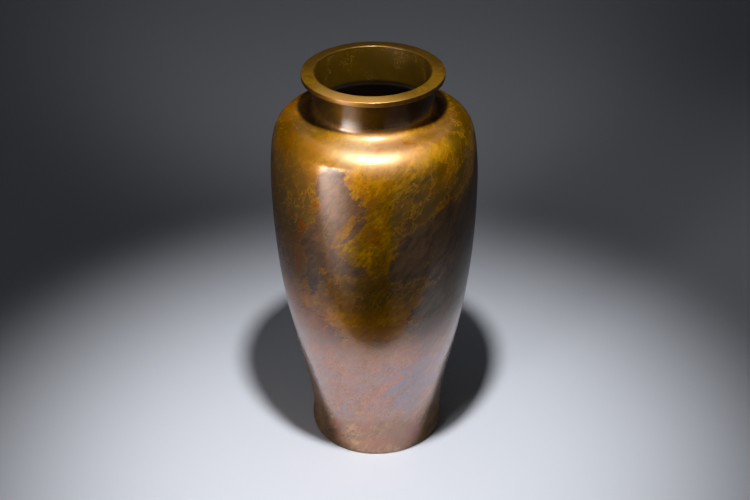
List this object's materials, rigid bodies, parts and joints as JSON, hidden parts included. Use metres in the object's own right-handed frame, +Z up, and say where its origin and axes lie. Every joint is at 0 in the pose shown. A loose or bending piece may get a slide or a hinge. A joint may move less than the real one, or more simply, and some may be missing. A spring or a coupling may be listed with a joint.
{
  "type": "flower vase",
  "caption": "Tall hollow-cast bronze flower vase with a flanged mouth, short neck, rounded shoulder and foot ring closed by a soldered base plate.",
  "frame": {"origin": "centre of the circle on which the foot ring stands", "axes": "+Z up along the vase's axis, from the foot to the mouth; the vase is round, so +X and +Y are free"},
  "size_m": [0.1806, 0.1806, 0.3645],
  "materials": {
    "patinated_bronze": "polished bronze with a cloudy patina of ochre, smoke brown and red",
    "plate_bronze": "turned bronze, darkened",
    "solder": "dull tin solder"
  },
  "bodies": {
    "root": {"cast_body": "patinated_bronze", "base_plate": "plate_bronze", "solder_seam": "solder"}
  },
  "joints": []
}
